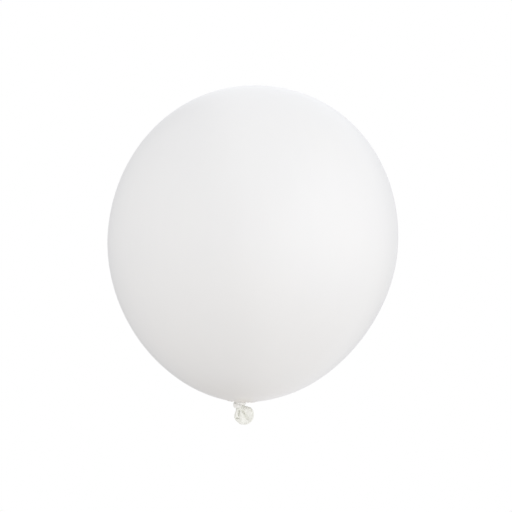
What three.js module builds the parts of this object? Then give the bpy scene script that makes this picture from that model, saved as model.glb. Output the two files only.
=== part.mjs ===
// An inflated, tied latex party balloon, knot down. Millimetres, +Z up.
// The origin is where a ribbon is tied: on the balloon's axis, level with the lowest ring of the bag.
// The balloon is one dipped latex skin; each stretch of it that does its own job is a mesh of its own.
import * as THREE from 'three';

// The inflated bag
const BAG_RADIUS = 140;
const BAG_HEIGHT = 305.5;
const WIDEST_LEVEL = 155.4;
const CROWN_FULLNESS = 2.06; // 2 is an ellipse, more is squarer
const BASE_FULLNESS = 1.89;
const BAG_LEAN = 0.0156; // sideways shift of the bag for each millimetre of height
const FILM = 0.3;
const MOUTH_RADIUS = 8.5; // where the bag's film starts to gather
const BAG_SIDES = 48;
const BAG_STEPS = 20;

// The gathered neck, drawn up into a dimple round the knot
const GAP = 0.3;
const DIMPLE_RADIUS = 6.7;
const DIMPLE_EDGE = THREE.MathUtils.degToRad(76); // the arc's end, measured from the axis
const DIMPLE_STEPS = 8;
const RIM_RADIUS = 7.4;
const NECK_FILM = 0.8;
const NECK_SIDES = 24;

// The knot, inside a ball round the point that it tilts on
const KNOT_LEVEL = -1;
const WRAP_RADIUS = 4.8;
const WRAP_HALF_THICKNESS = 1.4;
const WRAP_HALF_HEIGHT = 2.8;
const WRAP_SLOPE = THREE.MathUtils.degToRad(6);
const CORE_RADIUS = 2.6;
const CORE_TOP = 5.8; // above the knot's middle
const CORE_BOTTOM = -1.7;
const CORE_FOOT = { cut: 0.8, rise: 0.7 }; // the chamfer at the core's lower end
const CORE_SHOULDER = { cut: 0.7, start: 1.4, end: 0.5 }; // the slope at its top, down from CORE_TOP
const WRAP_SIDES = 16; // round the wrap's section
const KNOT_SIDES = 24;

// The flared mouth below the knot, pressed flat into a fan
const WAIST_LEVEL = -6.2;
const FAN_SLANT = THREE.MathUtils.degToRad(30); // the fan hangs over to +X
const STEM_RADIUS = 3;
const FAN_HALF_WIDTH = 9.4;
const FAN_HALF_DEPTH = 2.2;
const FAN_SIDE_DROP = 8.4;
const FAN_LENGTH = 15;
const FAN_WALL = 0.6;
const FAN_CORNER = 0.2; // how blunt the hairpin is where front and back layers meet
const STEM_SHARE = 0.2; // the share of the sleeve's length that is the stem, before it flares
const POCKET_START = 0.35; // the share of the fan's length where the mouth's pocket begins
const FAN_SIDES = 40;
const FAN_STEPS = 12;
const LIP_RADIUS = 1;
const LIP_SIDES = 10;

// The plain shapes that are reshaped into the fan and its lip. Only the order of their radii matters.
const SLEEVE_OUTSIDE = 2;
const SLEEVE_INSIDE = 1;
const RING_RADIUS = 2;
const RING_THICKNESS = 1;
const SHORT_OF_EDGE = 0.98; // a share just above the mouth's edge
const SMALL_TURN = 0.02;

function latex(color, roughness) {
  return new THREE.MeshStandardMaterial({ color, roughness, metalness: 0 });
}

function named(name, geometry, material) {
  const mesh = new THREE.Mesh(geometry, material);
  mesh.name = name;
  return mesh;
}

// A lathe turns its profile about Y, and the balloon stands on Z.
function turned(profile, sides) {
  const geometry = new THREE.LatheGeometry(profile, sides);
  geometry.rotateX(Math.PI / 2);
  return geometry;
}

// Moves every vertex to where place(vertex) says.
function reshaped(geometry, place) {
  const position = geometry.attributes.position;
  const vertex = new THREE.Vector3();
  for (let i = 0; i < position.count; i += 1) {
    vertex.fromBufferAttribute(position, i);
    const moved = place(vertex);
    position.setXYZ(i, moved.x, moved.y, moved.z);
  }
  geometry.computeVertexNormals();
  return geometry;
}

// The bag's outline at an angle from its crown, half an egg above the widest level and half below it.
function bagPoint(angle, inset) {
  const fullness = angle < Math.PI / 2 ? CROWN_FULLNESS : BASE_FULLNESS;
  const half = angle < Math.PI / 2 ? BAG_HEIGHT - WIDEST_LEVEL : WIDEST_LEVEL;
  const across = Math.pow(Math.max(Math.sin(angle), 0), 2 / fullness);
  const up = Math.sign(Math.cos(angle)) * Math.pow(Math.abs(Math.cos(angle)), 2 / fullness);
  return new THREE.Vector2((BAG_RADIUS - inset) * across, WIDEST_LEVEL + (half - inset) * up);
}

// The angle from the crown at which the bag has closed in to a radius, near its base.
function baseAngle(radius, inset) {
  return Math.PI - Math.asin(Math.pow(radius / (BAG_RADIUS - inset), BASE_FULLNESS / 2));
}

function envelope() {
  const outer = [];
  const inner = [];
  for (let i = 0; i <= BAG_STEPS; i += 1) {
    outer.push(bagPoint((baseAngle(MOUTH_RADIUS, 0) * i) / BAG_STEPS, 0));
    inner.push(bagPoint((baseAngle(MOUTH_RADIUS, FILM) * i) / BAG_STEPS, FILM));
  }
  outer[0].x = 0;
  inner[0].x = 0;
  const bag = turned([...inner, ...outer.reverse()], BAG_SIDES);
  return reshaped(bag, (v) => v.setX(v.x + BAG_LEAN * v.z));
}

// An arc about the knot's middle, from its edge at the dimple's rim up to the axis.
function dimpleArc(radius) {
  const points = [];
  for (let i = 0; i <= DIMPLE_STEPS; i += 1) {
    const angle = DIMPLE_EDGE * (1 - i / DIMPLE_STEPS);
    points.push(new THREE.Vector2(radius * Math.sin(angle), KNOT_LEVEL + radius * Math.cos(angle)));
  }
  points[DIMPLE_STEPS].x = 0;
  return points;
}

// The film fills the bag's mouth, rounds the rim of the dimple and follows a ball up to the axis.
function neck() {
  const edge = MOUTH_RADIUS - GAP;
  const level = bagPoint(baseAngle(edge, 0), 0).y;
  const rim = new THREE.Vector2(RIM_RADIUS, 0);
  const below = [new THREE.Vector2(edge, level), rim, ...dimpleArc(DIMPLE_RADIUS)];
  const above = [new THREE.Vector2(edge, level + NECK_FILM), ...dimpleArc(DIMPLE_RADIUS + NECK_FILM)];
  return turned([...below.reverse(), ...above], NECK_SIDES);
}

// The turn of the neck round the core: a ring with an upright oval section, sloping as a turn does.
function knotWrap() {
  const section = [];
  for (let i = 0; i <= WRAP_SIDES; i += 1) {
    const angle = (2 * Math.PI * i) / WRAP_SIDES;
    const across = WRAP_RADIUS + WRAP_HALF_THICKNESS * Math.cos(angle);
    section.push(new THREE.Vector2(across, WRAP_HALF_HEIGHT * Math.sin(angle)));
  }
  section[WRAP_SIDES].copy(section[0]);
  const ring = turned(section, KNOT_SIDES);
  ring.rotateY(WRAP_SLOPE);
  ring.translate(0, 0, KNOT_LEVEL);
  return ring;
}

function knotCore() {
  const profile = [
    new THREE.Vector2(0, CORE_BOTTOM),
    new THREE.Vector2(CORE_RADIUS - CORE_FOOT.cut, CORE_BOTTOM),
    new THREE.Vector2(CORE_RADIUS, CORE_BOTTOM + CORE_FOOT.rise),
    new THREE.Vector2(CORE_RADIUS, CORE_TOP - CORE_SHOULDER.start),
    new THREE.Vector2(CORE_RADIUS - CORE_SHOULDER.cut, CORE_TOP - CORE_SHOULDER.end),
    new THREE.Vector2(0, CORE_TOP),
  ];
  const core = turned(profile, KNOT_SIDES);
  core.translate(0, 0, KNOT_LEVEL);
  return core;
}

// How far round from the fan's side a pleat lies, 0 at the side and 1 in the middle of a layer.
function towardsMiddle(turn) {
  const raw = Math.hypot(Math.sin(turn), FAN_CORNER) - FAN_CORNER;
  return raw / (Math.hypot(1, FAN_CORNER) - FAN_CORNER);
}

// A point of the fan. share runs from the top of the stem, 0, to the mouth's edge, 1; turn goes round
// the sleeve, 0 and pi at the fan's two sides; inset is the depth below the sleeve's outside.
// X is across the fan, Y through it and Z up, with the waist at the origin.
function fanPoint(share, turn, inset) {
  const stem = Math.min(share / STEM_SHARE, 1);
  const flare = Math.max((share - STEM_SHARE) / (1 - STEM_SHARE), 0);
  const opening = Math.sin((flare * Math.PI) / 2);
  const stemAngle = (stem * Math.PI) / 2;
  const halfWidth = STEM_RADIUS * Math.sin(stemAngle) + (FAN_HALF_WIDTH - STEM_RADIUS) * opening;
  const thinning = (STEM_RADIUS - FAN_HALF_DEPTH) * flare;
  const halfDepth = STEM_RADIUS * Math.sin(stemAngle) - thinning;
  const blunt = Math.sin(turn) / Math.hypot(Math.sin(turn), FAN_CORNER * flare);
  const round = Math.sin(turn);
  const through = round + (blunt - round) * flare;
  const drop = FAN_SIDE_DROP + (FAN_LENGTH - FAN_SIDE_DROP) * towardsMiddle(turn);
  const level = STEM_RADIUS * Math.cos(stemAngle) * (1 - flare) - drop * flare;
  return new THREE.Vector3(
    Math.max(halfWidth - inset, 0) * Math.cos(turn),
    Math.max(halfDepth - inset, 0) * through,
    level - (stem < 1 ? inset : 0),
  );
}

// Hangs a fan made about the waist over to its side and moves it to the waist.
function hung(geometry) {
  geometry.rotateY(-FAN_SLANT);
  geometry.translate(0, 0, WAIST_LEVEL);
  return geometry;
}

// A lathe with a wall carries the share in its height, and is reshaped into the fan.
function tail() {
  const outside = [];
  const inside = [];
  for (let i = 0; i <= FAN_STEPS; i += 1) {
    const share = i / FAN_STEPS;
    outside.push(new THREE.Vector2(i === 0 ? 0 : SLEEVE_OUTSIDE, share));
    const level = POCKET_START + (1 - POCKET_START) * share;
    inside.push(new THREE.Vector2(i === 0 ? 0 : SLEEVE_INSIDE, level));
  }
  const sleeve = turned([...inside, ...outside.reverse()], FAN_SIDES);
  const fan = reshaped(sleeve, (v) => {
    const radius = Math.hypot(v.x, v.y);
    const share = v.z;
    if (radius < SLEEVE_INSIDE / 2) {
      const atTop = share < POCKET_START / 2;
      return fanPoint(share, Math.PI / 2, atTop ? 0 : FAN_WALL).setY(0);
    }
    const isOutside = radius > (SLEEVE_INSIDE + SLEEVE_OUTSIDE) / 2;
    return fanPoint(share, Math.atan2(v.y, v.x), isOutside ? 0 : FAN_WALL);
  });
  return hung(fan);
}

// The bead runs round the mouth just past the sleeve's edge, each section lying along its pleat.
function rolledLip() {
  const ring = new THREE.TorusGeometry(RING_RADIUS, RING_THICKNESS, LIP_SIDES, FAN_SIDES * 2);
  const middle = FAN_WALL / 2;
  const bead = reshaped(ring, (v) => {
    const turn = Math.atan2(v.y, v.x);
    const round = Math.atan2(v.z, Math.hypot(v.x, v.y) - RING_RADIUS);
    const edge = fanPoint(1, turn, middle);
    const outward = edge.clone().sub(fanPoint(SHORT_OF_EDGE, turn, middle)).normalize();
    const along = fanPoint(1, turn + SMALL_TURN, middle).sub(fanPoint(1, turn - SMALL_TURN, middle));
    const across = outward.clone().cross(along).normalize();
    const centre = edge.addScaledVector(outward, GAP + LIP_RADIUS);
    centre.addScaledVector(outward, LIP_RADIUS * Math.cos(round));
    return centre.addScaledVector(across, LIP_RADIUS * Math.sin(round));
  });
  return hung(bead);
}

const balloon = new THREE.Group();
balloon.add(named('envelope', envelope(), latex(0xf1efec, 0.35)));
balloon.add(named('neck', neck(), latex(0xe9e5de, 0.45)));
balloon.add(named('knot_core', knotCore(), latex(0xe6e3d9, 0.5)));
balloon.add(named('knot_wrap', knotWrap(), latex(0xe6e3d9, 0.5)));
balloon.add(named('tail', tail(), latex(0xe9e7dd, 0.5)));
balloon.add(named('rolled_lip', rolledLip(), latex(0xe4e2d8, 0.45)));

export default balloon;
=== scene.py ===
# %% [markdown]
# # A tied latex balloon
#
# A party balloon is one skin of latex rubber, dipped on a former. Blown up and tied, it falls into
# stretches that look quite different. The bag is stretched tight and thin. The neck is gathered into pleats
# where the bag closes. Then come the knot, and below it the slack mouth with the lip that was rolled round
# its edge. Each stretch is a piece of its own here, because each one moves and shines in its own way.
#
# The first cell loads the measured model, a plain version of the same balloon. Every piece below is made in
# the same frame, so it goes straight to its place: the origin is where a ribbon is tied, and the bag stands
# on +Z.

# %% Load the measured model
import math

import bpy
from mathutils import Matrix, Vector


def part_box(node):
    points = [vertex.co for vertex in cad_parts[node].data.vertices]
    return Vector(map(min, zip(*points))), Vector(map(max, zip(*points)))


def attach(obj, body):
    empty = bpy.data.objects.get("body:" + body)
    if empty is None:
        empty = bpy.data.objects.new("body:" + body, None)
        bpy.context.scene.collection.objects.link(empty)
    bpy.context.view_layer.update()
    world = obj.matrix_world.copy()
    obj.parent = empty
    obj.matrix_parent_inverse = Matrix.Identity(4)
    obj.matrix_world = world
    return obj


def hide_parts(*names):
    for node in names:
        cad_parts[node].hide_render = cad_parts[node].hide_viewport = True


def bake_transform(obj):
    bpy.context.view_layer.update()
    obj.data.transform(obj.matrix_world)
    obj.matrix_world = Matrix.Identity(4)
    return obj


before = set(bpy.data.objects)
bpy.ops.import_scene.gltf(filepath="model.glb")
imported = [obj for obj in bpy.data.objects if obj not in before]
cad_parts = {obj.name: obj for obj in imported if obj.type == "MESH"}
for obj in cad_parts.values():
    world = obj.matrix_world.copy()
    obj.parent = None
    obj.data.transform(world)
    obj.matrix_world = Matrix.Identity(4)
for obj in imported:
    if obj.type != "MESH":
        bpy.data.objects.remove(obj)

bpy.context.view_layer.update()
print("nodes:", sorted(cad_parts))

# %% [markdown]
# ## Habits that keep operators safe
#
# An operator acts on everything that is selected, so each piece starts by deselecting all. Lengths are
# written in millimetres, as on a drawing, and the factor MM turns them into metres, which is Blender's
# unit.

# %% Helpers for working by hand
MM = 0.001
SOFT_ANGLE = 50  # degrees up to which an edge is shaded smooth on the bag and neck
FOLD_ANGLE = 60  # and on the knot and mouth, where folds turn more sharply


def start_fresh():
    if bpy.context.object and bpy.context.object.mode != "OBJECT":
        bpy.ops.object.mode_set(mode="OBJECT")
    bpy.ops.object.select_all(action="DESELECT")


def edit(piece):
    start_fresh()
    bpy.context.view_layer.objects.active = piece
    piece.select_set(True)
    bpy.ops.object.mode_set(mode="EDIT")
    bpy.ops.mesh.select_all(action="SELECT")


def leave_edit():
    bpy.ops.object.mode_set(mode="OBJECT")


def apply_modifier(piece, kind, **settings):
    start_fresh()
    bpy.context.view_layer.objects.active = piece
    piece.select_set(True)
    modifier = piece.modifiers.new(kind.lower(), kind)
    for name, value in settings.items():
        setattr(modifier, name, value)
    bpy.ops.object.modifier_apply(modifier=modifier.name)


def shade(piece, degrees):
    start_fresh()
    bpy.context.view_layer.objects.active = piece
    piece.select_set(True)
    bpy.ops.object.shade_smooth_by_angle(angle=math.radians(degrees))
    piece.select_set(False)


def tell(piece):
    size = [round(length / MM, 1) for length in piece.dimensions]
    print(piece.name, "measures", size, "mm and has", len(piece.data.polygons), "faces")


def smoothstep(value):
    value = min(max(value, 0.0), 1.0)
    return value * value * (3 - 2 * value)


print("one millimetre is", MM, "m")

# %% [markdown]
# ## The outline of the bag
#
# An inflated balloon is not a ball. Its widest level is near the middle, the crown above it is a little
# squarer than an ellipse, and the base below it draws in towards the neck. Two half outlines share the
# widest level, and a power makes each one squarer or more pointed: 2 gives an ellipse. The driving sizes
# come from the measured model where it holds them, and the outline has an angle that runs from 0 at the
# crown to 180 degrees at the knot.

# %% The outline as a formula
_, bag_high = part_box("envelope")
BAG_RADIUS = bag_high.y / MM
BAG_HEIGHT = bag_high.z / MM
WIDEST_LEVEL = 155.4
CROWN_FULLNESS = 2.06
BASE_FULLNESS = 1.89
BAG_LEAN = 0.0156  # how far the bag leans to +X for each millimetre of height
BAG_MOUTH = 8.5  # radius at which the bag hands over to the neck


def bag_outline(angle):
    upper = angle < math.pi / 2
    fullness = CROWN_FULLNESS if upper else BASE_FULLNESS
    half = BAG_HEIGHT - WIDEST_LEVEL if upper else WIDEST_LEVEL
    across = max(math.sin(angle), 0.0) ** (2 / fullness)
    up = math.copysign(abs(math.cos(angle)) ** (2 / fullness), math.cos(angle))
    return BAG_RADIUS * across, WIDEST_LEVEL + half * up


def base_angle(radius):
    return math.pi - math.asin((radius / BAG_RADIUS) ** (BASE_FULLNESS / 2))


print("the bag closes to its mouth at", round(math.degrees(base_angle(BAG_MOUTH)), 2), "degrees from the crown")

# %% [markdown]
# ## Pleats
#
# Where the film is drawn together it has far more length round the neck than it needs, so it puckers into
# pleats that point at the knot. They could be painted on with bump, but they break the outline and catch
# the light, so they are real shape. One function gives the height of the pleats all round. The bag and the
# neck both use it, and so they meet without a step. A few deeper tucks lie among the even ones, because
# fingers made them.

# %% Pleats round the neck
FINE_PLEATS = 26
BROAD_PLEATS = 11
PLEAT_HEIGHT = 0.46
PLEAT_REACH = 34  # how far out from the bag's mouth the pleats fade, in mm
TUCK_DEPTH = 1.8
TUCKS = (  # degrees round, half width in degrees, share of the depth
    (-9, 5.0, 1.0), (52, 4.0, 0.5), (118, 6.0, 0.7), (190, 5.0, 0.9), (232, 4.5, 0.45), (301, 5.0, 0.55),
)


def pleat(turn):
    wander = 0.35 * math.sin(3 * turn + 0.6) + 0.25 * math.sin(5 * turn + 2.1)
    fine = math.cos(FINE_PLEATS * turn + 2.0 * wander)
    broad = math.cos(BROAD_PLEATS * turn + 3.0 * wander + 1.0)
    height = 0.34 * fine * (0.7 + 0.3 * math.sin(4 * turn + 1.3)) + 0.4 * broad
    for degrees, width, depth in TUCKS:
        away = (math.degrees(turn) - degrees + 180) % 360 - 180
        height -= TUCK_DEPTH * depth * math.exp(-((away / width) ** 2))
    return height


def pleat_depth(radius):
    fade = 1 - smoothstep((radius - BAG_MOUTH) / PLEAT_REACH)
    return PLEAT_HEIGHT * fade ** 2


print("a pleat at the bag's mouth is", round(pleat_depth(BAG_MOUTH), 2), "mm high each way")

# %% [markdown]
# ## The bag
#
# A former is turned, so the bag is a surface of revolution. A UV sphere could be pulled into its shape, but
# its rings would be spread evenly, and here they must crowd together near the neck. So one point is
# extruded along the outline, and the line is spun round the axis. Lengthwise rows of the mesh become
# meridians, the way the film runs.
#
# The bag also leans a little over its neck. A lattice with a shifted top gives a true shear, which keeps
# every level a circle. Solidify then gives the film its thickness.

# %% Spin the outline into a bag
SEGMENTS = 192
FILM = 0.3
FIRST_STEP = 0.7  # between the rings next to the mouth, in mm
STEP_GROWTH = 1.045
CROWDED_RADIUS = 62  # the rings stop crowding together here
UPPER_RINGS = 74


def add_point(name, x, z):
    """A plane merged to its centre leaves one vertex, ready to extrude."""
    start_fresh()
    bpy.ops.mesh.primitive_plane_add(size=MM, location=(0, 0, 0))
    piece = bpy.context.object
    piece.name = name
    piece.data.name = name
    edit(piece)
    bpy.ops.mesh.merge(type="CENTER")
    bpy.ops.transform.translate(value=(x * MM, 0, z * MM))
    return piece


def extrude_along(points):
    for (x0, z0), (x1, z1) in zip(points, points[1:]):
        step = ((x1 - x0) * MM, 0, (z1 - z0) * MM)
        bpy.ops.mesh.extrude_vertices_move(TRANSFORM_OT_translate={"value": step})


def spin_round(piece):
    bpy.ops.mesh.select_all(action="SELECT")
    bpy.ops.mesh.spin(steps=SEGMENTS, angle=math.tau, center=(0, 0, 0), axis=(0, 0, 1))
    bpy.ops.mesh.select_all(action="SELECT")
    bpy.ops.mesh.remove_doubles(threshold=0.002 * MM)
    bpy.ops.mesh.normals_make_consistent(inside=False)
    leave_edit()


def bag_points():
    radius, step, points = BAG_MOUTH, FIRST_STEP, []
    while radius < CROWDED_RADIUS:
        points.append(bag_outline(base_angle(radius)))
        radius += step
        step *= STEP_GROWTH
    first = base_angle(radius)
    points += [bag_outline(first * (1 - i / UPPER_RINGS)) for i in range(UPPER_RINGS + 1)]
    points[-1] = (0.0, BAG_HEIGHT)
    return points


outline = bag_points()
bag = add_point("bag_skin", *outline[0])
extrude_along(outline)
spin_round(bag)
print("the outline has", len(outline), "points")
tell(bag)

# %% [markdown]
# The pleats and the collar are pushed in and out along the surface, as a sculpting brush would. The collar
# is the ring of thicker, less stretched film just round the knot. It swells a little and ends in a faint
# step. The bag's skin is never quite even either, so it gets slow swells of a few tenths of a millimetre.

# %% Sculpt the bag's base and its uneven film
COLLAR_EDGE = 14.5
COLLAR_HEIGHT = 0.8
COLLAR_START = 4.5  # the collar rises over this distance from the mouth
COLLAR_STEP = 3.2  # and falls again over this one, at its edge
SLOW_SWELL = 0.28
SIDE_SWELL = 0.14
STILL_RADIUS = 30  # there are no swells inside this radius, next to the neck
SWELL_FADE = 40


def collar(radius, turn):
    edge = COLLAR_EDGE + 1.6 * math.sin(turn + 0.7) + 0.6 * math.sin(4 * turn)
    inside = 1 - smoothstep((radius - edge + 2.6) / COLLAR_STEP)
    start = smoothstep((radius - BAG_MOUTH) / COLLAR_START)
    return COLLAR_HEIGHT * inside * start


def film_swell(x, y, z):
    slow = math.sin(0.021 * x + 0.017 * z + 0.4) * math.cos(0.023 * y - 0.012 * z)
    side = math.sin(0.043 * y + 0.031 * x + 1.1) * math.sin(0.027 * z + 0.5)
    return SLOW_SWELL * slow + SIDE_SWELL * side


def sculpt(piece, push):
    normals = [vertex.normal.copy() for vertex in piece.data.vertices]
    for vertex, normal in zip(piece.data.vertices, normals):
        x, y, z = (value / MM for value in vertex.co)
        vertex.co += normal * push(x, y, z) * MM
    piece.data.update()


def bag_push(x, y, z):
    radius, turn = math.hypot(x, y), math.atan2(y, x)
    if z > BAG_HEIGHT / 2:
        return film_swell(x, y, z)
    below = pleat_depth(radius) * pleat(turn) + collar(radius, turn)
    return below + film_swell(x, y, z) * smoothstep((radius - STILL_RADIUS) / SWELL_FADE)


sculpt(bag, bag_push)
tell(bag)

# %% [markdown]
# The lattice has eight points at its corners. Its top four are shifted to +X, which carries the bag's crown
# along and leaves the mouth where it is. Solidify works inwards, so the outline keeps its measured size.

# %% Lean it with a lattice and give the film its thickness
start_fresh()
bpy.ops.object.add(type="LATTICE", location=(0, 0, BAG_HEIGHT / 2 * MM))
cage = bpy.context.object
cage.scale = (BAG_HEIGHT * MM, BAG_HEIGHT * MM, BAG_HEIGHT * MM)
for axis in ("u", "v", "w"):
    setattr(cage.data, f"interpolation_type_{axis}", "KEY_LINEAR")
for point in cage.data.points:
    point.co_deform.x += BAG_LEAN * (point.co_deform.z + 0.5)
apply_modifier(bag, "LATTICE", object=cage)
bpy.data.objects.remove(cage)
apply_modifier(bag, "SOLIDIFY", thickness=FILM * MM, offset=-1)
shade(bag, SOFT_ANGLE)
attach(bag, "bag")
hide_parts("envelope")
tell(bag)

# %% [markdown]
# ## The gathered neck
#
# Under the bag the film rounds the rim of a small dimple, runs up inside it and closes on the strand that
# goes down through the knot. The knot sits in that dimple. The neck is spun like the bag, from the same
# ring of points. Its pleats flatten inside the dimple, where the knot presses on them. Turning the knot
# twists them.

# %% Spin and pleat the neck
NECK_FILM = 0.5
RIM_RADIUS = 7.3
PRESSED_SHARE = 0.6  # how much of the pleats' height goes inside the dimple
PRESSED_LEVEL = 1.4
NARROW_RADIUS = 4.4  # the pleats fade with the radius inside this one
TUCKED_RADIUS = 9.3  # the neck's edge lies inside the bag, behind the bag's own edge
STRAND_RADIUS = 2.7
DIMPLE = (
    (7.1, 0.5), (7.0, 1.5), (6.6, 2.6), (5.75, 3.6), (4.6, 4.35), (3.6, 4.6), (2.95, 4.2), (STRAND_RADIUS, 3.4),
)


def rounded(points, cuts):
    """More points on a smooth curve through these ones (Catmull-Rom)."""
    fine = []
    for i in range(len(points) - 1):
        p0, p1 = points[max(i - 1, 0)], points[i]
        p2, p3 = points[i + 1], points[min(i + 2, len(points) - 1)]
        for k in range(cuts):
            t = k / cuts
            place = []
            for a, b, c, d in zip(p0, p1, p2, p3):
                place.append(b + t * (c - a + t * (2 * a - 5 * b + 4 * c - d + t * (3 * (b - c) + d - a))) / 2)
            fine.append(tuple(place))
    return fine + [points[-1]]


def throat_depth(z, radius):
    inside = 1 - PRESSED_SHARE * smoothstep(z / PRESSED_LEVEL)
    room = min(1.0, radius / NARROW_RADIUS)
    return pleat_depth(BAG_MOUTH) * inside * room


mouth_ring = bag_outline(base_angle(BAG_MOUTH))
rim = ((7.9, 0.12), (RIM_RADIUS, 0.02))
tucked = bag_outline(base_angle(TUCKED_RADIUS))
neck_points = rounded(((tucked[0], tucked[1] + 2 * FILM), mouth_ring) + rim + DIMPLE, 5)
neck = add_point("neck_pleats", *neck_points[0])
extrude_along(neck_points)
spin_round(neck)
sculpt(neck, lambda x, y, z: throat_depth(z, math.hypot(x, y)) * pleat(math.atan2(y, x)))
apply_modifier(neck, "SOLIDIFY", thickness=NECK_FILM * MM, offset=-1)
shade(neck, SOFT_ANGLE)
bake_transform(neck)
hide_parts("neck")
tell(neck)

# %% [markdown]
# ## The strand through the knot
#
# From the top of the dimple the neck runs down as one tight strand, through the turn that holds it shut, to
# the slack mouth. It is spun from a short outline and fluted lengthwise, because pleats squeezed together
# lie side by side like cords. Only slivers of it show, between the dimple's rim and the knot.

# %% The strand
STRAND = (
    (0.0, 4.3), (1.9, 4.25), (2.6, 3.7), (2.55, 2.4), (2.3, 0.6),
    (2.3, -1.4), (2.5, -3.2), (2.2, -4.6), (0.0, -5.0),
)
FLUTES = 9
FLUTE_DEPTH = 0.35
FLUTE_TWIST = 0.12  # radians for each millimetre down


def flute(turn, count, sharpness):
    wander = 0.4 * math.sin(2 * turn + 0.8)
    return abs(math.cos(count * turn / 2 + wander)) ** sharpness - 0.5


strand_points = rounded(STRAND, 5)
strand = add_point("knot_strand", *strand_points[0])
extrude_along(strand_points)
spin_round(strand)


def strand_push(x, y, z):
    around = math.atan2(y, x) + FLUTE_TWIST * z
    return FLUTE_DEPTH * flute(around, FLUTES, 0.6) * min(math.hypot(x, y) / 2, 1)


sculpt(strand, strand_push)
shade(strand, FOLD_ANGLE)
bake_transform(strand)
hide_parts("knot_core")
tell(strand)

# %% [markdown]
# ## The turn that holds the knot shut
#
# The mouth is carried once and a half round the strand and tucked under itself. That is the knot. It is
# modelled like a rope: a straight length with a fluted, oval section is laid along X, thinned towards both
# ends and then bent with a Curve modifier. The path is a short spiral that sinks as it goes round, so the
# last half turn lies under the first one. It bulges on the left, where the film doubled back on itself
# before it was tucked in.

# %% A straight length of twisted neck
TURN_SIDES = 48
TURN_STEPS = 150
TURN_HALF_THICKNESS = 1.45
TURN_HALF_HEIGHT = 2.15
THIN_END = 0.32  # the size of the ends, as a share of the full size
BULGE = 0.16
BULGE_SHARE = 0.79  # how far along the bulge lies
TURN_PATH = (  # degrees round the strand, radius, level
    (70, 2.4, 1.5), (98, 3.5, 1.15), (135, 4.15, 0.75), (180, 4.3, 0.45), (225, 4.2, 0.1),
    (270, 4.25, -0.35), (315, 4.3, -0.8), (360, 4.25, -1.15), (405, 4.2, -1.5), (450, 4.25, -1.85),
    (495, 4.6, -2.2), (530, 5.15, -2.85), (556, 5.1, -3.35), (584, 4.4, -3.8), (612, 3.4, -4.2),
    (640, 2.2, -4.6), (664, 1.2, -4.9),
)


def turn_length():
    places = [polar_place(*stop) for stop in rounded(TURN_PATH, 8)]
    return sum(math.dist(a, b) for a, b in zip(places, places[1:]))


def polar_place(degrees, radius, level):
    angle = math.radians(degrees)
    return radius * math.cos(angle), radius * math.sin(angle), level


TURN_LENGTH = turn_length()


def turn_section(share, around):
    """Half thickness and half height, with flutes that wind slowly round the length."""
    ends = smoothstep(share / 0.1) * smoothstep((1 - share) / 0.16)
    swell = 1 + 0.1 * math.sin(9 * share + 1) + BULGE * math.exp(-(((share - BULGE_SHARE) / 0.07) ** 2))
    flutes = 1 + 0.2 * flute(around + 2.2 * share, 7, 0.55) + 0.07 * flute(around - 3 * share, 17, 0.8)
    size = (THIN_END + (1 - THIN_END) * ends) * swell * flutes
    return TURN_HALF_THICKNESS * size * math.cos(around), TURN_HALF_HEIGHT * size * math.sin(around)


start_fresh()
facing_x = (0, math.pi / 2, 0)
bpy.ops.mesh.primitive_circle_add(vertices=TURN_SIDES, radius=MM, fill_type="NGON", rotation=facing_x)
turn = bpy.context.object
turn.name = "knot_turn"
turn.data.name = "knot_turn"
bpy.ops.object.transform_apply(rotation=True)
edit(turn)
for _ in range(TURN_STEPS):
    step = (TURN_LENGTH / TURN_STEPS * MM, 0, 0)
    bpy.ops.mesh.extrude_region_move(TRANSFORM_OT_translate={"value": step})
bpy.ops.mesh.select_all(action="SELECT")
bpy.ops.mesh.normals_make_consistent(inside=False)
leave_edit()
for vertex in turn.data.vertices:
    share = vertex.co.x / MM / TURN_LENGTH
    across, high = turn_section(share, math.atan2(vertex.co.z, vertex.co.y))
    vertex.co.y = across * MM
    vertex.co.z = high * MM
tell(turn)

# %% [markdown]
# The path is a NURBS curve along those stops, and a Curve modifier lays the straight length on it. Stretch
# and bounds are switched on, so the rope is fitted to the whole path. Z_UP keeps its section upright.

# %% Bend it round the strand
start_fresh()
bpy.ops.curve.primitive_nurbs_path_add(radius=MM)
path = bpy.context.object
path.name = "turn_path"
spline = path.data.splines[0]
spline.points.add(len(TURN_PATH) - len(spline.points))
for point, stop in zip(spline.points, TURN_PATH):
    point.co = (*(value * MM for value in polar_place(*stop)), 1)
path.data.twist_mode = "Z_UP"
spline.use_endpoint_u = True
spline.order_u = 4
spline.resolution_u = 12
path.data.use_stretch = True
path.data.use_deform_bounds = True
turn.data.update()
apply_modifier(turn, "CURVE", object=path, deform_axis="POS_X")
bpy.data.objects.remove(path)
shade(turn, FOLD_ANGLE)
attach(turn, "knot")
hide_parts("knot_wrap")
tell(turn)

# %% [markdown]
# ## The slack mouth
#
# Below the knot the mouth is slack, thick film again. It is a short sleeve that was squeezed to a waist by
# the knot, and the waist leaves pleats that fan out towards the lip. Pressed between fingers, it lies
# nearly flat, like a round fan that hangs over to one side. It starts as the straight sleeve it was: an
# open cylinder with its upright edges subdivided into rings. Each point is then moved to its place in the
# fan.
#
# A point's share says how far down the sleeve it lies, and its turn how far round. In the fan's own plane,
# u is across, v is through it away from the front and w is down from the waist.

# %% The fan's plane and outline
WAIST_LEVEL = -5.8
FAN_SLANT = math.radians(30)
WAIST_WIDTH = 4.3
TOP_RISE = 3.2  # how far the sleeve reaches up into the knot
TOP_RADIUS = 2.2
DISC_RADIUS = 8.85
DISC_DROP = 7.7
DISC_SIDE = 0.3
LIP_REACH = math.radians(113)  # how far the lip runs up each side of the disc, from straight down
WAIST_SHARE = 0.17


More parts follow.
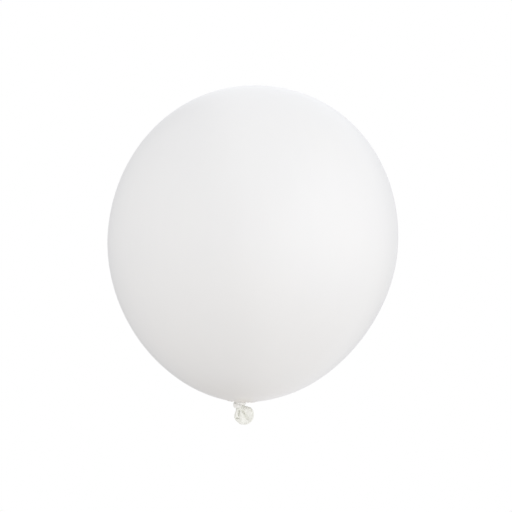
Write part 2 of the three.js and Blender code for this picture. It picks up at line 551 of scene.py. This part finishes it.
def from_fan(u, v, w):
    x = u * math.cos(FAN_SLANT) + w * math.sin(FAN_SLANT)
    z = WAIST_LEVEL + u * math.sin(FAN_SLANT) - w * math.cos(FAN_SLANT)
    return x * MM, v * MM, z * MM


def bump(value, centre, width):
    return math.exp(-(((value - centre) / width) ** 2))


def crease(value, centre, width):
    return math.exp(-abs(value - centre) / width)


def fan_outline(share, across, reach):
    """u and w of a point. across is -1 at the left, 1 at the right; reach is under 1 where a layer is short."""
    side = math.sin(across * math.pi / 2)
    if share < WAIST_SHARE:
        down = share / WAIST_SHARE
        half_width = TOP_RADIUS + (WAIST_WIDTH - TOP_RADIUS) * smoothstep(down)
        return side * half_width, -TOP_RISE * (1 - down)
    along = (share - WAIST_SHARE) / (1 - WAIST_SHARE) * reach
    lip = LIP_REACH * across
    lip_u = DISC_SIDE + DISC_RADIUS * math.sin(lip)
    lip_w = DISC_DROP + DISC_RADIUS * math.cos(lip)
    flare = 1 - (1 - along) ** 1.6
    return side * WAIST_WIDTH * (1 - flare) + lip_u * flare, lip_w * along


print("the fan is", 2 * DISC_RADIUS, "mm across before its lip")

# %% [markdown]
# The folds are what makes it read as slack rubber. On the front there is a bright ridge down the middle
# with a narrow tuck on its left and a long crease on its right, then a large smooth petal. Low on the left
# a short crease crosses the others, and the front layer is a little shorter there, so the mouth gapes. The
# back is plainer.

# %% Folds of the fan
RIDGE_HEIGHT = 1.2  # each height and depth is in mm, out from or into the fan's front
PETAL_HEIGHT = 1.2
LOBE_HEIGHT = 0.9
VALLEY_DEPTH = 3.2
TUCK_FOLD_DEPTH = 2.8
POCKET_DEPTH = 3.0
SIDE_DEPTH = 2.2


def rise(value, start, length):
    """0 before start, 1 from one length after it, with a smooth way between."""
    return smoothstep((value - start) / length)


def front_fold(across, along):
    early = rise(along, 0.04, 0.2)
    ridge = RIDGE_HEIGHT * bump(across, 0.03 - 0.42 * along, 0.12) * early * (1 - 0.6 * rise(along, 0.6, 0.4))
    petal = PETAL_HEIGHT * bump(across, 0.5, 0.32) * early
    lobe = LOBE_HEIGHT * bump(across, -0.68, 0.2) * early
    below = LOBE_HEIGHT * bump(across, -0.5, 0.22) * bump(along, 0.95, 0.12)
    valley = VALLEY_DEPTH * crease(across, 0.02 + 0.1 * along, 0.07)
    valley *= early * (1 - 0.8 * rise(along, 0.7, 0.22))
    tuck = TUCK_FOLD_DEPTH * crease(across, -0.17 - 0.5 * along, 0.06)
    tuck *= rise(along, 0.03, 0.12) * (1 - rise(along, 0.42, 0.2))
    pocket = POCKET_DEPTH * crease(along, 0.72 - 0.6 * (across + 0.45), 0.075) * bump(across, -0.68, 0.26)
    side = SIDE_DEPTH * crease(across, -0.86, 0.06) * rise(along, 0.25, 0.2)
    return ridge + petal + lobe + below - valley - tuck - max(pocket, side)


def back_fold(across, along):
    early = rise(along, 0.04, 0.2)
    late = 1 - 0.7 * rise(along, 0.55, 0.35)
    valleys = 1.7 * bump(across, -0.32 - 0.1 * along, 0.08) + 1.4 * bump(across, 0.3 + 0.2 * along, 0.07)
    swells = 0.8 * bump(across, 0.02, 0.2) + 0.7 * bump(across, -0.7, 0.22) + 0.6 * bump(across, 0.75, 0.2)
    return early * (swells - valleys * late)


print("fold depth in the valley:", round(front_fold(0.06, 0.4), 2), "mm")

# %% [markdown]
# The fan is thickest just below the waist and flattens towards the lip. Fine puckers run down from the
# waist and fade, and a faint crumple covers it all. The two layers meet in a hairpin at each side, where
# the folds die out.

# %% How deep the fan is
WAIST_SWELL = 0.7
FLATTENING = 1.1  # how much thinner each layer's half is at the lip
PUCKERS = 17
PUCKER_HEIGHT = 0.32
THINNEST = 0.2  # no fold brings a layer nearer to the fan's middle than this, in mm
GAPE = 0.16  # how much shorter the front layer is where the mouth gapes


def fan_depth(share, turn, across):
    along = max((share - WAIST_SHARE) / (1 - WAIST_SHARE), 0.0)
    half = TOP_RADIUS + WAIST_SWELL * rise(share, 0, 0.3) - FLATTENING * rise(along, 0.25, 0.75)
    blunt = abs(math.sin(turn)) ** (1 - 0.58 * rise(along, 0, 0.6))
    puckers = PUCKER_HEIGHT * math.cos(PUCKERS * turn + 2 * along)
    puckers *= (1 - rise(along, 0, 0.75)) * rise(share, 0, 0.15)
    crumple = 0.12 * math.sin(7 * turn + 9 * along) + 0.08 * math.sin(13 * turn - 14 * along + 1.0)
    fold = front_fold(across, along) if math.sin(turn) < 0 else back_fold(across, along)
    near_side = smoothstep((1 - abs(across)) / 0.3)
    depth = half * blunt + (fold + crumple) * near_side + puckers * (0.4 + 0.6 * near_side)
    return math.copysign(max(depth, THINNEST), math.sin(turn)) if abs(math.sin(turn)) > 0.001 else 0.0


def fan_place(share, turn):
    front = math.sin(turn) < 0
    across = (turn % math.tau - 1.5 * math.pi) / (0.5 * math.pi) if front else 1 - turn / (0.5 * math.pi)
    gape = GAPE * bump(across, -0.55, 0.2) if front else 0.0
    u, w = fan_outline(share, across, 1 - gape)
    return from_fan(u, fan_depth(share, turn, across), w)


print("the front layer is", round(100 * GAPE), "per cent shorter where the mouth gapes")

# %% [markdown]
# Now the sleeve itself. Its upright edges are picked by their height difference and subdivided, which gives
# the rings. An open cylinder keeps both ends free: the upper one is hidden in the knot, the lower one gets
# the lip.

# %% Model the sleeve and press it into the fan
SLEEVE_SIDES = 160
SLEEVE_RINGS = 60
SLEEVE_LENGTH = 20.0
SLEEVE_RADIUS = 8.0
SLEEVE_FILM = 0.45
start_fresh()
bpy.ops.mesh.primitive_cylinder_add(
    vertices=SLEEVE_SIDES, radius=SLEEVE_RADIUS * MM, depth=SLEEVE_LENGTH * MM, end_fill_type="NOTHING"
)
fan = bpy.context.object
fan.name = "mouth_fan"
fan.data.name = "mouth_fan"
edit(fan)
bpy.ops.mesh.select_all(action="DESELECT")
bpy.ops.mesh.select_mode(type="EDGE")
leave_edit()
for edge in fan.data.edges:
    low, high = (fan.data.vertices[i].co for i in edge.vertices)
    edge.select = abs(low.z - high.z) > SLEEVE_LENGTH / 2 * MM
bpy.ops.object.mode_set(mode="EDIT")
bpy.ops.mesh.subdivide(number_cuts=SLEEVE_RINGS - 1)
bpy.ops.mesh.select_mode(type="VERT")
leave_edit()
for vertex in fan.data.vertices:
    share = 0.5 - vertex.co.z / MM / SLEEVE_LENGTH
    vertex.co = fan_place(share, math.atan2(vertex.co.y, vertex.co.x) % math.tau)
fan.data.update()
tell(fan)

# %% [markdown]
# ## The rolled lip
#
# At the works the open edge is rolled down on itself into a firm bead, which helps fingers to hold the
# mouth. The bead follows the edge exactly, so the edge is copied off the sleeve, made a curve and given a
# round bevel.

# %% Copy the sleeve's edge and thicken it into a bead
BEAD_RADIUS = 0.8
edit(fan)
bpy.ops.mesh.select_all(action="DESELECT")
leave_edit()
faces_at = {}
for face in fan.data.polygons:
    for key in face.edge_keys:
        faces_at[key] = faces_at.get(key, 0) + 1
for edge in fan.data.edges:
    middle = (fan.data.vertices[edge.vertices[0]].co + fan.data.vertices[edge.vertices[1]].co) / 2
    is_border = faces_at[edge.key] == 1
    edge.select = is_border and middle.z < (WAIST_LEVEL + 1) * MM
bpy.ops.object.mode_set(mode="EDIT")
bpy.ops.mesh.select_mode(type="EDGE")
bpy.ops.mesh.duplicate()
bpy.ops.mesh.separate(type="SELECTED")
bpy.ops.mesh.select_mode(type="VERT")
leave_edit()
lip = next(obj for obj in bpy.context.selected_objects if obj is not fan)
lip.name = "mouth_lip"
start_fresh()
bpy.context.view_layer.objects.active = lip
lip.select_set(True)
bpy.ops.object.convert(target="CURVE")
lip.data.bevel_depth = BEAD_RADIUS * MM
lip.data.bevel_resolution = 5
for number, point in enumerate(lip.data.splines[0].points):
    point.radius = 1 + 0.07 * math.sin(0.31 * number) + 0.05 * math.sin(0.83 * number + 1)
bpy.ops.object.convert(target="MESH")
lip.data.name = "mouth_lip"
shade(lip, FOLD_ANGLE)
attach(lip, "mouth")
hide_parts("rolled_lip")
tell(lip)

# %% [markdown]
# The sleeve gets its film last, because the lip had to be copied from a single edge.

# %% Give the sleeve its film
apply_modifier(fan, "SOLIDIFY", thickness=SLEEVE_FILM * MM, offset=-1)
shade(fan, FOLD_ANGLE)


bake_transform(fan)
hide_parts("tail")
tell(fan)

# %% [markdown]
# ## White latex, stretched tight
#
# Three finishes are needed. Blown up, the film is thin, smooth and softly glossy, a clean white with a
# trace of warmth. It is thicker, so creamier, where it is least stretched: in a small spot at the crown,
# where the former was dipped first, and towards the neck. Dipping also leaves faint streaks along the
# meridians. Close round the neck a darker, warmer ring is painted shade, which darkens the bag's base as
# shade would. All of this is worked out from the place on the balloon, by noise and by distance, so it
# needs no image. The rings round the neck end in the neck's own white, so that bag and neck meet without an
# edge of colour.

# %% Node helpers and the inflated latex
def new_material(name):
    material = bpy.data.materials.new(name)
    material.use_nodes = True
    return material, material.node_tree, material.node_tree.nodes["Principled BSDF"]


def add_node(tree, kind, inputs=None, **settings):
    node = tree.nodes.new(kind)
    for name, value in settings.items():
        setattr(node, name, value)
    for name, value in (inputs or {}).items():
        if isinstance(value, bpy.types.NodeSocket):
            tree.links.new(value, node.inputs[name])
        else:
            node.inputs[name].default_value = value
    return node


def object_place(tree, scale=(1, 1, 1), centre=(0, 0, 0)):
    """Object coordinates, centred on a place and then stretched."""
    coordinates = add_node(tree, "ShaderNodeTexCoord").outputs["Object"]
    shifted = add_node(tree, "ShaderNodeVectorMath", {0: coordinates, 1: centre}, operation="SUBTRACT")
    return add_node(tree, "ShaderNodeMapping", {"Vector": shifted.outputs[0], "Scale": scale}).outputs[0]


def noise(tree, scale, place, detail=3.0, roughness=0.5):
    inputs = {"Vector": place, "Scale": scale, "Detail": detail, "Roughness": roughness}
    return add_node(tree, "ShaderNodeTexNoise", inputs).outputs["Fac"]


def ramp(tree, value, low, high, to_low, to_high):
    inputs = {"Value": value, "From Min": low, "From Max": high, "To Min": to_low, "To Max": to_high}
    return add_node(tree, "ShaderNodeMapRange", inputs, interpolation_type="LINEAR", clamp=True).outputs[0]


def mix_colour(tree, factor, first, second):
    node = add_node(tree, "ShaderNodeMix", data_type="RGBA")
    for socket, value in (("Factor_Float", factor), ("A_Color", first), ("B_Color", second)):
        slot = next(s for s in node.inputs if s.identifier == socket)
        if isinstance(value, bpy.types.NodeSocket):
            tree.links.new(value, slot)
        else:
            slot.default_value = value if isinstance(value, float) else (*value, 1)
    return next(s for s in node.outputs if s.identifier == "Result_Color")


def near(tree, centre, full, gone):
    """1 within the distance full of a place, falling to 0 at the distance gone."""
    away = add_node(tree, "ShaderNodeVectorMath", {0: object_place(tree, centre=centre)}, operation="LENGTH")
    return ramp(tree, away.outputs["Value"], full, gone, 1.0, 0.0)


def add_bump(tree, shader, heights):
    """Chains bumps: each height is (value, distance in metres, strength)."""
    normal = None
    for value, distance, strength in heights:
        inputs = {"Height": value, "Distance": distance, "Strength": strength}
        if normal:
            inputs["Normal"] = normal
        normal = add_node(tree, "ShaderNodeBump", inputs).outputs[0]
    tree.links.new(normal, shader.inputs["Normal"])


THIN_WHITE = (0.803, 0.800, 0.795)
THICK_WHITE = (0.818, 0.812, 0.798)
CREAM_WHITE = (0.788, 0.766, 0.744)
STREAK_WHITE = (0.780, 0.776, 0.768)
CROWN_WHITE = (0.850, 0.838, 0.800)
# painted shade: a darker, warmer colour that darkens the bag's base close round the neck
PAINTED_SHADE_AT_NECK = (0.735, 0.706, 0.676)
GATHERED_WHITE = (0.880, 0.872, 0.845)
NECK_RINGS = ((8, 80, CREAM_WHITE), (8, 34, PAINTED_SHADE_AT_NECK), (8.5, 12, GATHERED_WHITE))  # full and gone, in mm
LATEX_IOR = 1.52
CROWN_SPOT = (BAG_LEAN * BAG_HEIGHT * MM, 0, BAG_HEIGHT * MM)
CLOUD_SCALE = 14  # noise scales are in waves for each metre
STREAK_SCALE = 90
ALONG_THE_AXIS = (1, 1, 0.06)  # stretches a pattern upwards
SWELL_SCALE = 22
SKIN_SCALE = 900


def inflated_latex():
    material, tree, shader = new_material("inflated_latex")
    cloudy = noise(tree, CLOUD_SCALE, object_place(tree), detail=4)
    streaks = noise(tree, STREAK_SCALE, object_place(tree, scale=ALONG_THE_AXIS), detail=2)
    base = mix_colour(tree, ramp(tree, cloudy, 0.3, 0.7, 0.0, 0.45), THIN_WHITE, THICK_WHITE)
    base = mix_colour(tree, ramp(tree, streaks, 0.35, 0.75, 0.0, 0.16), base, STREAK_WHITE)
    crown = near(tree, CROWN_SPOT, 5 * MM, 16 * MM)
    base = mix_colour(tree, crown, base, CROWN_WHITE)
    # the second of these rings is painted shade round the neck; the others are the film's own colour
    for full, gone, colour in NECK_RINGS:
        base = mix_colour(tree, near(tree, (0, 0, 0), full * MM, gone * MM), base, colour)
    tree.links.new(base, shader.inputs["Base Color"])
    tree.links.new(ramp(tree, cloudy, 0.2, 0.8, 0.285, 0.345), shader.inputs["Roughness"])
    shader.inputs["IOR"].default_value = LATEX_IOR
    swells = noise(tree, SWELL_SCALE, object_place(tree), detail=1)
    skin = noise(tree, SKIN_SCALE, object_place(tree), detail=2)
    add_bump(tree, shader, ((swells, 2 * MM, 0.12), (skin, 0.05 * MM, 0.25)))
    return material


bag.data.materials.clear()
bag.data.materials.append(inflated_latex())
print("the bag's film is", THIN_WHITE, "where it is thin")

# %% [markdown]
# ## White latex, gathered and slack
#
# At the neck and the knot the film is thick and creased. The folds are real shape, and a bump adds the
# fine creases that run down over them. The mouth below was never stretched: it is duller and creamier,
# keeps a little of the talc that stops balloons sticking, and is finely crinkled.

# %% The gathered latex and the slack latex
SLACK_WHITE = (0.850, 0.852, 0.800)
TALC_WHITE = (0.885, 0.887, 0.855)
MOTTLED_WHITE = (0.850, 0.843, 0.810)
MOTTLE_SCALE = 260
CREASE_SCALE = 1400
POWDER_SCALE = 420
CRINKLE_SCALE = 1100


def gathered_latex():
    material, tree, shader = new_material("gathered_latex")
    mottle = noise(tree, MOTTLE_SCALE, object_place(tree), detail=3)
    base = mix_colour(tree, ramp(tree, mottle, 0.3, 0.7, 0.0, 1.0), GATHERED_WHITE, MOTTLED_WHITE)
    tree.links.new(base, shader.inputs["Base Color"])
    tree.links.new(ramp(tree, mottle, 0.3, 0.7, 0.36, 0.48), shader.inputs["Roughness"])
    shader.inputs["IOR"].default_value = LATEX_IOR
    creases = noise(tree, CREASE_SCALE, object_place(tree, scale=(1, 1, 0.35)), detail=3)
    add_bump(tree, shader, ((creases, 0.25 * MM, 0.35),))
    return material


def slack_latex():
    material, tree, shader = new_material("slack_latex")
    powder = noise(tree, POWDER_SCALE, object_place(tree), detail=5, roughness=0.65)
    talc = ramp(tree, powder, 0.52, 0.72, 0.0, 0.55)
    base = mix_colour(tree, talc, SLACK_WHITE, TALC_WHITE)
    tree.links.new(base, shader.inputs["Base Color"])
    tree.links.new(ramp(tree, powder, 0.4, 0.75, 0.42, 0.62), shader.inputs["Roughness"])
    shader.inputs["IOR"].default_value = LATEX_IOR
    crinkle = noise(tree, CRINKLE_SCALE, object_place(tree), detail=4)
    add_bump(tree, shader, ((crinkle, 0.12 * MM, 0.2),))
    return material


gathered = gathered_latex()
slack = slack_latex()
for piece, material in ((neck, gathered), (strand, gathered), (turn, gathered), (fan, slack), (lip, slack)):
    piece.data.materials.clear()
    piece.data.materials.append(material)
    print(piece.name, "wears", material.name)

# %% [markdown]
# The measured model's own meshes are hidden behind these pieces, but they are part of the file, so they get
# the same finishes in place of their plain grey.

# %% Give the measured model's nodes their finishes
NODE_FINISH = {
    "envelope": bag.data.materials[0], "neck": gathered, "knot_core": gathered,
    "knot_wrap": gathered, "tail": slack, "rolled_lip": slack,
}
for name, material in NODE_FINISH.items():
    for material_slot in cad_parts[name].material_slots:
        material_slot.material = material
print(len(NODE_FINISH), "nodes finished")

# %% [markdown]
# ## A light tent
#
# A white balloon on white is lit like glassware: a white background that burns out, and soft light from all
# round with a little more of it from the front on one side. The world gives that even light, a little
# dimmer and warmer from below, as light off a floor is. To the camera the same world is plain white.

# %% The world that lights the film
KEY_SIDE = (0.6, -0.8, 0.1)
KEY_LIGHT = 0.13
FRONT_LIGHT = 0.10
LIGHT_BELOW = 0.76
LIGHT_ABOVE = 0.94
WARM_BELOW = (1.0, 0.975, 0.955)
COOL_ABOVE = (1.0, 1.002, 1.014)


def sides_of(tree, direction):
    parts = add_node(tree, "ShaderNodeSeparateXYZ", {"Vector": direction})
    return [parts.outputs[axis] for axis in "XYZ"]


def total(tree, *values):
    result = values[0]
    for value in values[1:]:
        result = add_node(tree, "ShaderNodeMath", {0: result, 1: value}, operation="ADD").outputs[0]
    return result


def towards(tree, direction, aim, edge, full, strength):
    """A soft round lamp: nothing where the cosine to its aim is under edge, all of its strength above full."""
    inputs = {0: direction, 1: aim}
    cosine = add_node(tree, "ShaderNodeVectorMath", inputs, operation="DOT_PRODUCT").outputs["Value"]
    return ramp(tree, cosine, edge, full, 0.0, strength)


def light_world():
    world = bpy.data.worlds.new("light_tent")
    world.use_nodes = True
    tree = world.node_tree
    tree.nodes.clear()
    direction = add_node(tree, "ShaderNodeTexCoord").outputs["Generated"]
    _, deep, up = sides_of(tree, direction)
    front = ramp(tree, deep, 1.0, -1.0, 0.0, FRONT_LIGHT)
    key = towards(tree, direction, KEY_SIDE, 0.3, 1.0, KEY_LIGHT)
    level = total(tree, front, key, ramp(tree, up, -1.0, -0.3, LIGHT_BELOW, LIGHT_ABOVE))
    tint = mix_colour(tree, ramp(tree, up, -0.9, 0.1, 0.0, 1.0), WARM_BELOW, COOL_ABOVE)
    lit = add_node(tree, "ShaderNodeBackground", {"Color": tint, "Strength": level}).outputs[0]
    seen = add_node(tree, "ShaderNodeBackground", {"Color": (1, 1, 1, 1), "Strength": 1.0}).outputs[0]
    camera_ray = add_node(tree, "ShaderNodeLightPath").outputs["Is Camera Ray"]
    mixed = add_node(tree, "ShaderNodeMixShader", {0: camera_ray, 1: lit, 2: seen}).outputs[0]
    add_node(tree, "ShaderNodeOutputWorld", {"Surface": mixed})
    bpy.context.scene.world = world
    world.cycles_visibility.glossy = False
    return world


print("the world is", light_world().name)

# %% [markdown]
# The film's gloss would mirror the same world, but a studio has darker corners that only show in
# reflections. So the world is hidden from glossy rays, and they see a dome of its own light instead. It is
# dim on the left and below and brighter on the right, and its edge runs down the balloon's front as a soft
# line. A dark card behind on the right keeps the bright side's rim apart from the background.

# %% The dome that the gloss mirrors
DOME_RADIUS = 30
KEY_MIRRORED = (0.87, -0.46, 0.17)
KEY_GLOW = 0.65
DARK_CARD = (0.5, 0.866, 0.0)
CARD_SHADE = -0.45
EDGE_SLOPE = 0.25  # how far the dome's soft edge leans from upright
EDGE_GLOW = 0.55
RIGHT_GLOW = 0.20
LOW_GLOW = 0.27
RISING_GLOW = 0.34
GLOW_TINT = (0.965, 0.985, 1.03, 1)


def mirrored_light():
    material = bpy.data.materials.new("mirrored_light")
    material.use_nodes = True
    tree = material.node_tree
    tree.nodes.clear()
    place = add_node(tree, "ShaderNodeTexCoord").outputs["Object"]
    direction = add_node(tree, "ShaderNodeVectorMath", {0: place}, operation="NORMALIZE").outputs[0]
    across, _, up = sides_of(tree, direction)
    slope = add_node(tree, "ShaderNodeMath", {0: up, 1: EDGE_SLOPE}, operation="MULTIPLY").outputs[0]
    tilted = total(tree, across, slope)
    level = total(
        tree,
        ramp(tree, tilted, -0.24, 0.0, 0.0, EDGE_GLOW),
        ramp(tree, across, 0.2, 0.9, 0.0, RIGHT_GLOW),
        ramp(tree, up, -0.9, -0.5, 0.0, LOW_GLOW),
        ramp(tree, up, -1.0, 0.1, 0.0, RISING_GLOW),
        towards(tree, direction, KEY_MIRRORED, 0.6, 0.95, KEY_GLOW),
        towards(tree, direction, DARK_CARD, 0.86, 0.97, CARD_SHADE),
    )
    glow = add_node(tree, "ShaderNodeEmission", {"Color": GLOW_TINT, "Strength": level}).outputs[0]
    add_node(tree, "ShaderNodeOutputMaterial", {"Surface": glow})
    return material


start_fresh()
bpy.ops.mesh.primitive_uv_sphere_add(segments=64, ring_count=32, radius=DOME_RADIUS)
dome = bpy.context.object
dome.name = "mirrored_dome"
dome.data.materials.append(mirrored_light())
for kind in ("camera", "diffuse", "transmission", "volume_scatter", "shadow"):
    setattr(dome, f"visible_{kind}", False)
print("the dome is", DOME_RADIUS, "m in radius")

# %% [markdown]
# ## The floor
#
# The balloon floats, so the floor is well below it and only shows from above. It is a pale warm grey and
# only the camera sees it, which leaves the tent's light alone.

# %% Floor
FLOOR_LEVEL = -3.0
FLOOR_SIZE = 40
DIM_PAPER = (0.80, 0.765, 0.72)
PALE_PAPER = (0.83, 0.795, 0.75)
start_fresh()
bpy.ops.mesh.primitive_plane_add(size=FLOOR_SIZE, location=(0, 0, FLOOR_LEVEL))
floor = bpy.context.object
floor.name = "studio_floor"
paper, paper_tree, paper_shader = new_material("pale_floor")
grain = noise(paper_tree, 3, object_place(paper_tree), detail=2)
paper_base = mix_colour(paper_tree, grain, DIM_PAPER, PALE_PAPER)
paper_tree.links.new(paper_base, paper_shader.inputs["Base Color"])
paper_shader.inputs["Roughness"].default_value = 0.9
floor.data.materials.append(paper)
floor.visible_glossy = False
floor.visible_diffuse = False
floor.visible_shadow = False
print("floor at", FLOOR_LEVEL, "m")

# %% [markdown]
# ## The camera
#
# The camera stands at the height of the balloon's middle and looks along +Y through a long lens, which
# keeps the outline true. It is rolled by a few degrees, and that makes the balloon lean to the right.

# %% Camera
CAMERA_DISTANCE = 2.2
CAMERA_ROLL = 3.44
AIM = (6.5, 141.4)  # across and up, in mm
VIEW_WIDTH = 494.3  # how much of the balloon's plane fills the frame, in mm
bpy.ops.object.camera_add(
    location=(AIM[0] * MM, -CAMERA_DISTANCE, AIM[1] * MM), rotation=(math.pi / 2, -math.radians(CAMERA_ROLL), 0)
)
camera = bpy.context.object
camera.data.lens = camera.data.sensor_width * CAMERA_DISTANCE / (VIEW_WIDTH * MM)
camera.data.clip_start = 0.1
camera.data.clip_end = 100
bpy.context.scene.camera = camera
bpy.context.scene.view_settings.view_transform = "Standard"
print("lens", round(camera.data.lens, 1), "mm")

# %% [markdown]
# ## Finish
#
# The visual pieces have to fill the same box as the measured model. The last line brings the scene up to
# date.

# %% Finish
bpy.context.view_layer.update()
